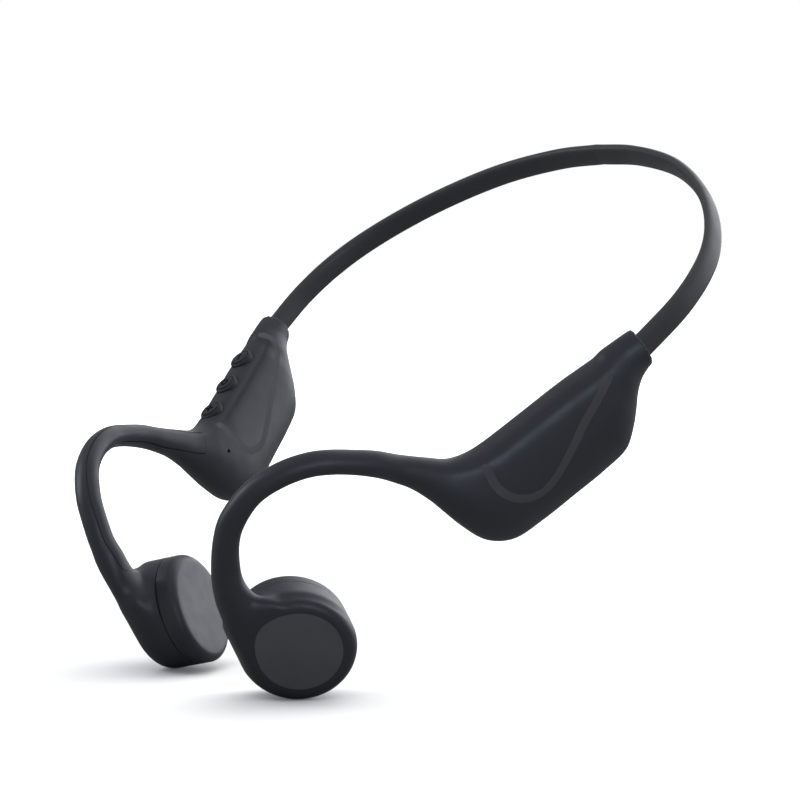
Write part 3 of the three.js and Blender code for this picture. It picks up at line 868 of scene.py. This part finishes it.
def inlay_space(grow=0.0):
    """Space of the long inlay on the head side of the hook, with rounded ends."""
    body_start, body_end = INLAY_START + INLAY_POINT, INLAY_END - INLAY_CORNER
    numbers = np.concatenate([
        INLAY_START + INLAY_POINT * (1 - np.cos(np.linspace(0, math.pi / 2, 9)[:-1])),
        np.linspace(body_start, body_end, 90),
        body_end + INLAY_CORNER * np.sin(np.linspace(0, math.pi / 2, 7)[1:]),
    ])
    top, up, outward, height, half_width, _ = arm_stations(numbers)
    station, high_share, low_share = np.array(INLAY_EDGES).T
    upper = np.interp(numbers, station, high_share) * height
    lower = np.interp(numbers, station, low_share) * height
    pinch = quarter_round((numbers - INLAY_START) / INLAY_POINT)
    corner = CORNER_SIZE * (1 - quarter_round((INLAY_END - numbers) / INLAY_CORNER))
    middle, reach = (upper + lower) / 2, (lower - upper) / 2
    reach = np.maximum(reach * pinch - corner, 0.02) + grow
    high, low = middle - reach, middle + reach
    floor, face = -INLAY_FLOOR * half_width + grow, -half_width - 2.5

    def edge(x, fall):
        return top + outward * x[:, None] - up * fall[:, None]

    def onward(ring, before):
        return (ring - before) / np.linalg.norm(ring - before)

    rings = np.stack([edge(face, high), edge(floor, high), edge(floor, low), edge(face, low)], 1)
    rings[0] += onward(rings[0], rings[1]) * grow
    rings[-1] += onward(rings[-1], rings[-2]) * grow * END_SEAM
    return loft(rings)


DISC_PULL = 0.75                       # the disc is drawn out by this much
DISC_PULL_ANGLE = 116                  # toward the root of the hook, at this angle round the pod, degrees
DISC_PULL_SPREAD = 30


def disc_outline(radius, count=120):
    """The outer disc: round, drawn out a little toward the root of the hook."""
    angle = round_angles(count)
    off_pull = (np.degrees(angle) - DISC_PULL_ANGLE + 180) % 360 - 180
    reach = radius + DISC_PULL * np.exp(-(off_pull / DISC_PULL_SPREAD) ** 2)
    return np.column_stack([reach * np.cos(angle), reach * np.sin(angle)])


SHELL_WALL = 1.3
HOLLOW_OUTLINE = np.array([(-3.5, 2), (-3.5, -22), (29.5, -22), (29.5, 2)])     # clear of hook and collar
POD_ROOM_RADIUS = 9.6
PLATE_WALL = 2.3
DISH_DEPTH = 0.1
DISH_EDGE = (2.6, 3.3)                 # a dish runs out between these distances from its button's middle
Z_TO_X = np.array([[0, 0, 1, 0], [1, 0, 0, 0], [0, 1, 0, 0], [0, 0, 0, 1]])     # lays a shape along X
MICROPHONE_FRAME = shift((0, *MICROPHONE)) @ Z_TO_X


def housing_hollow(skin):
    """Room for the electronics inside the housing."""
    return combine(inset(skin, SHELL_WALL), "INTERSECT", prism(HOLLOW_OUTLINE, -6, 6, axis=0))


def common_cuts(skin, under):
    """What is cut from the skin of both units; under is the surface just below the skin."""
    below_seam = drum(14, -POD_SEAM - 2, -POD_SEAM + CAP_GAP / 2)
    pod_room = drum(POD_ROOM_RADIUS, -POD_SEAM - 1, -PLATE_WALL)
    disc_bed = prism(disc_outline(DISC_RADIUS + FINE_GAP), -0.9, 2, axis=2)
    return [
        *(carried(shape, LEANING_POD) for shape in (below_seam, pod_room, disc_bed)),
        inlay_space(SEAM_GAP),
        *(stripe_space(flank, under, FINE_GAP) for flank in STRIPE_PATHS),
        housing_hollow(skin),
    ]


def right_cuts():
    """Holes in the right unit: buttons, microphone, contacts and light."""
    button, contact = drum(BUTTON_RADIUS + 0.07, -4.4, 2), drum(0.98, -24, -17.4, 48)
    microphone, light = drum(0.42, -8, -2.4, 32), drum(0.78, -24, -17.8, 48)
    return [
        *(carried(button, shift((BUTTON_SHIFT, y, 0))) for y in BUTTONS.values()),
        carried(microphone, MICROPHONE_FRAME),
        *(carried(contact, shift((CONTACT_SHIFT, y, 0))) for y in CONTACTS.values()),
        carried(light, shift((CONTACT_SHIFT, LIGHT_PLACE, 0))),
    ]


def dish_buttons(mesh):
    """Shallow finger dishes round the three buttons."""
    points = coordinates(mesh)
    for y in BUTTONS.values():
        distance = np.hypot(points[:, 0] - BUTTON_SHIFT, points[:, 1] - y)
        on_spine = smoothstep(points[:, 2], -3.0, -2.2)
        points[:, 2] -= DISH_DEPTH * (1 - smoothstep(distance, *DISH_EDGE)) * on_spine
    set_coordinates(mesh, points)


def build_skins(skin):
    under = inset(skin, STRIPE_DEPTH)
    stripes = {flank: combine(skin, "INTERSECT", stripe_space(flank, under)) for flank in STRIPE_PATHS}
    inlay = combine(skin, "INTERSECT", inlay_space())
    cuts = common_cuts(skin, under)
    for side in SIDES:
        base = skin.copy()
        extra = []
        if side == "right":
            dish_buttons(base)
            extra = right_cuts()
        shell = combine(base, "DIFFERENCE", *cuts, *extra)
        body = f"{side}_arm"
        slot = "soft_touch_shell"
        placed(f"{side}_unit_skin", shell, side, ARM, body, slot, f"{side}_hook_skin",
               f"{side}_housing_shell", f"{side}_housing_cover", f"{side}_pod_shell")
        placed(f"{side}_hook_inlay", inlay, side, ARM, body, slot, f"{side}_hook_strip")
        for flank, stripe in stripes.items():
            placed(f"{side}_{flank}_stripe", stripe, side, ARM, body, slot, look="stripe_satin")


# ---------------------------------------------------------------- pod pieces


def vibration_cap():
    """The vibrating end of the pod: the flat pad with its rounded rim, and the ring up to the seam."""
    top, face = -POD_SEAM - CAP_GAP / 2, -POD_DEPTH
    return turned(rounded([
        (0, face + 1.6), (9.3, face + 1.6), (9.6, top), (POD_RADIUS, top, 0.1),
        (POD_RADIUS, face + 1.5, 1.0), (10.4, face + 0.6, 0.7), (9.6, face + 0.07, 0.6), (8.6, face, 0.5),
        (0, face),
    ]), 160)


def build_pods():
    cap = vibration_cap()
    disc = prism(disc_outline(DISC_RADIUS), -0.8, 0.0, axis=2)
    for side in SIDES:
        place = ARM @ LEANING_POD
        placed(f"{side}_vibration_cap", cap, side, place, f"{side}_exciter", "pad_silicone",
               f"{side}_vibration_pad", f"{side}_pod_cap")
        placed(f"{side}_disc_insert", disc, side, place, f"{side}_arm", "disc_insert", f"{side}_pod_disc")


# ---------------------------------------------------------------- buttons, microphone, contacts, light

BUTTON_TOP = SPINE_TOP + 0.62
MARK_SPAN = (BUTTON_TOP - 0.1, BUTTON_TOP + 0.05)
MARK_LENGTH = 1.9
MARK_WIDTH = 0.36


def button_cap():
    """A round cap with a fine ring groove round its raised middle, and a stem down to its switch."""
    top = BUTTON_TOP
    return turned(rounded([
        (0, -3.6), (1.1, -3.6), (1.1, -2.9), (BUTTON_RADIUS, -2.9), (BUTTON_RADIUS, top - 0.5, 0.3),
        (2.2, top - 0.22, 0.12), (2.05, top - 0.45, 0.05), (1.85, top - 0.45, 0.05),
        (1.75, top - 0.05, 0.12), (0, top),
    ]), 96)


def button_marks():
    """A plus, a ring and a bar, each let into the top of its cap."""
    low, high = MARK_SPAN
    end = MARK_LENGTH / 2 - MARK_WIDTH / 2
    across = prism(ribbon_outline([(-end, 0), (0, 0), (end, 0)], MARK_WIDTH / 2, 12), low, high, axis=2)
    along = carried(across, turn("z", math.pi / 2))
    return {
        "volume_up": combine(new_mesh("mark", *across), "UNION", along),
        "play": turned(rounded([(0.55, low), (0.88, low), (0.88, high), (0.55, high)], closed=True), 48),
        "volume_down": along,
    }


def build_buttons():
    cap = button_cap()
    marks = button_marks()
    for name, y in BUTTONS.items():
        place = ARM @ shift((BUTTON_SHIFT, y, 0))
        body = f"button_{name}"
        placed(f"button_cap_{name}", cap, "right", place, body, "button_rubber", body)
        placed(f"button_mark_{name}", marks[name], "right", place, body, "button_rubber",
               look="button_mark")


def build_right_details():
    grille = turned(rounded([(0, -3.9), (0.4, -3.9), (0.4, -3.6, 0.1), (0, -3.5)]), 32)
    placed("microphone_grille", grille, "right", ARM @ MICROPHONE_FRAME, "right_arm", "steel")
    contact = turned(rounded([(0, -17.5), (0.9, -17.5), (0.9, -20.35, 0.25), (0, -20.4)]), 48)
    for name, y in CONTACTS.items():
        place = ARM @ shift((CONTACT_SHIFT, y, 0))
        placed(f"{name}_pin", contact, "right", place, "right_arm", "gold_contact", name)
    light = turned(rounded([(0, -18), (0.7, -18), (0.7, -20.3, 0.2), (0, -20.45)]), 48)
    place = ARM @ shift((CONTACT_SHIFT, LIGHT_PLACE, 0))
    placed("status_light_lens", light, "right", place, "right_arm", "light_pipe", "status_light")


# ---------------------------------------------------------------- neckband

BAND_PATH = [
    (58.5, 77.5), (60.0, 93.1), (56.8, 105.6), (46.2, 119.2), (29.0, 131.0), (12.1, 136.2), (0, 137.2),
]
BAND_HEIGHT = 4.9
BAND_THICKNESS = 2.3
BAND_SQUARENESS = 2.5                  # 2 is a plain oval, more is squarer
WIRE_RADIUS = 0.4
WIRE_OFFSET = 1.1                      # the spring wire above the band's middle, and the cord below it
MOUTH_CLEARANCE = 0.05


def band_half(fractions):
    """The left half of the band's centre line, from the collar to the middle."""
    return spline([(x, y, BAND_BACK[2]) for x, y in BAND_PATH], fractions)


def oval_rod(path, half_thickness, half_height, power, around, trim=0):
    """Rod along a level path with an oval section, without its first and last trim points."""
    ahead = unit(np.gradient(path, axis=0))
    kept = slice(trim, len(path) - trim)
    path, ahead = path[kept], ahead[kept]
    angle = round_angles(around)
    c, s = np.cos(angle), np.sin(angle)
    swell = (abs(c) ** power + abs(s) ** power) ** (-1 / power)
    across = np.column_stack([ahead[:, 1], -ahead[:, 0], 0 * ahead[:, 0]])
    sideways = across[:, None] * (half_thickness * s * swell)[None, :, None]
    upward = UP * (half_height * c * swell)[None, :, None]
    return loft(path[:, None] + sideways + upward)


def build_band():
    half = band_half(np.linspace(0, 1, 150))
    path = np.vstack([half, (half * [-1, 1, 1])[-2::-1]])
    strap = oval_rod(path, BAND_THICKNESS / 2, BAND_HEIGHT / 2, BAND_SQUARENESS, 40)
    wire, cord = (oval_rod(path + UP * offset, WIRE_RADIUS, WIRE_RADIUS, 2, 16, trim=1)
                  for offset in (WIRE_OFFSET, -WIRE_OFFSET))
    pieces = {
        "neckband_strap": (strap, "band_rubber", "jacket"),
        "neckband_wire": (wire, "titanium_wire", "spring_wire"),
        "neckband_cord": (cord, "cable_sheath", "cable"),
    }
    for name, (shape, slot, node) in pieces.items():
        nodes = [f"neckband_{node}_{side}" for side in SIDES]
        piece = placed(name, shape, "left", HEADSET, None, slot, *nodes)
        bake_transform(piece)


def collar_mouth():
    """Space in the collar that the neckband plugs into, in the arm frame."""
    end = oval_rod(band_half(np.linspace(0, 0.2, 12)), BAND_THICKNESS / 2 + MOUTH_CLEARANCE,
                   BAND_HEIGHT / 2 + MOUTH_CLEARANCE, BAND_SQUARENESS, 40)
    return carried(end, np.linalg.inv(shift(ARM_ORIGIN) @ turn("z", -ARM_YAW)))


# ---------------------------------------------------------------- floor, light, camera

FLOOR_HALF = 6.0
FLOOR_DROP = 0.00005                   # just under the object, so that the two don't share a plane
FLOOR_GLOW = (0.05, 1.0)               # strength near the object and far away
ROOM_BRIGHT_SIDE = (-0.2, 0.95, 0.22)
ROOM_LEVELS = (0.25, 2.2)
ROOM_COLOR = (0.95, 0.97, 1, 1)
CAMERA_LENS = 108
CAMERA_PLACE = (0.37756, -0.28505, 0.08169)
CAMERA_TARGET = (-0.01113, 0.01049, 0.05121)


def floor():
    """White floor without a horizon: it glows far from the object, and keeps the soft shadows near it."""
    corners = [(x * FLOOR_HALF, y * FLOOR_HALF, 0) for x, y in ((-1, -1), (1, -1), (1, 1), (-1, 1))]
    item = new_object("floor", (corners, [(0, 1, 2, 3)]))
    item.location.z = -FLOOR_DROP
    look = Look("floor_white")
    distance = look.add("ShaderNodeVectorMath", Vector=look.place)
    distance.operation = "LENGTH"
    seen = look.add("ShaderNodeLightPath").outputs["Is Camera Ray"]
    glow = look.span(distance.outputs["Value"], *FLOOR_GLOW, 0.12, 0.6)
    pale = look.mix(look.span(look.noise(0.02), 0, 1), (0.74, 0.74, 0.74), (0.75, 0.75, 0.75))
    look.set(Base_Color=look.mix(seen, (0.2, 0.2, 0.2), pale), Roughness=0.9, Specular_IOR_Level=0.0,
             Emission_Color=look.mix(seen, (0, 0, 0), glow), Emission_Strength=1.0)
    item.data.materials.append(look.material)


def softbox(name, place, target, size, power, color=(1, 1, 1), reflected=True):
    light = bpy.data.lights.new(name, "AREA")
    light.shape = "RECTANGLE"
    light.size, light.size_y = size
    light.energy = power
    light.color = color
    item = bpy.data.objects.new(name, light)
    item.location = place
    item.rotation_euler = (Vector(target) - Vector(place)).to_track_quat("-Z", "Y").to_euler()
    item.visible_glossy = reflected
    bpy.context.scene.collection.objects.link(item)


def world():
    """White to the eye; the object reflects a room that is bright on one side and dark on the other."""
    scene = bpy.context.scene
    scene.world = bpy.data.worlds.new("studio")
    scene.world.use_nodes = True
    tree = scene.world.node_tree
    tree.nodes.clear()
    output = tree.nodes.new("ShaderNodeOutputWorld")
    path = tree.nodes.new("ShaderNodeLightPath")
    place = tree.nodes.new("ShaderNodeTexCoord")
    facing = tree.nodes.new("ShaderNodeVectorMath")
    facing.operation = "DOT_PRODUCT"
    facing.inputs[1].default_value = ROOM_BRIGHT_SIDE
    tree.links.new(place.outputs["Generated"], facing.inputs[0])
    ramp = tree.nodes.new("ShaderNodeMapRange")
    ramp.interpolation_type = "SMOOTHSTEP"
    tree.links.new(facing.outputs["Value"], ramp.inputs["Value"])
    dark, bright = ROOM_LEVELS
    for key, value in {"From Min": 0.5, "From Max": 1.0, "To Min": dark, "To Max": bright}.items():
        ramp.inputs[key].default_value = value
    seen, felt = tree.nodes.new("ShaderNodeBackground"), tree.nodes.new("ShaderNodeBackground")
    seen.inputs["Color"].default_value = (1, 1, 1, 1)
    felt.inputs["Color"].default_value = ROOM_COLOR
    tree.links.new(ramp.outputs["Result"], felt.inputs["Strength"])
    mix = tree.nodes.new("ShaderNodeMixShader")
    tree.links.new(path.outputs["Is Camera Ray"], mix.inputs[0])
    tree.links.new(felt.outputs[0], mix.inputs[1])
    tree.links.new(seen.outputs[0], mix.inputs[2])
    tree.links.new(mix.outputs[0], output.inputs["Surface"])
    scene.view_settings.view_transform = "Standard"


def camera():
    data = bpy.data.cameras.new("camera")
    data.lens = CAMERA_LENS
    data.sensor_width = 36
    data.clip_start = 0.01
    item = bpy.data.objects.new("camera", data)
    item.location = CAMERA_PLACE
    item.rotation_euler = (Vector(CAMERA_TARGET) - item.location).to_track_quat("-Z", "Y").to_euler()
    bpy.context.scene.collection.objects.link(item)
    bpy.context.scene.camera = item


# ---------------------------------------------------------------- build

build_skins(combine(unit_skin(), "DIFFERENCE", collar_mouth()))
build_pods()
build_buttons()
build_right_details()
build_band()

slots = {entry["node"]: entry["material_slot"] for entry in frame["record"]["subparts"]}
for name, node in frame["nodes"].items():
    node.data.materials.clear()
    node.data.materials.append(LOOKS[slots[name]])

floor()
world()
softbox("overhead", (0, 0, 0.9), (0, 0, 0), (1.8, 1.8), 17, reflected=False)
softbox("back", (0.3, 0.85, 0.4), (0, 0, 0.05), (0.5, 0.55), 2.5, (0.96, 0.98, 1), reflected=False)
softbox("left", (-0.5, -0.5, 0.35), (0, 0, 0.06), (0.2, 0.5), 1.6, (0.86, 0.92, 1))
softbox("front", (0.92, -0.38, 0.2), (0, 0, 0.05), (0.4, 0.42), 2.0, (0.8, 0.88, 1))
camera()
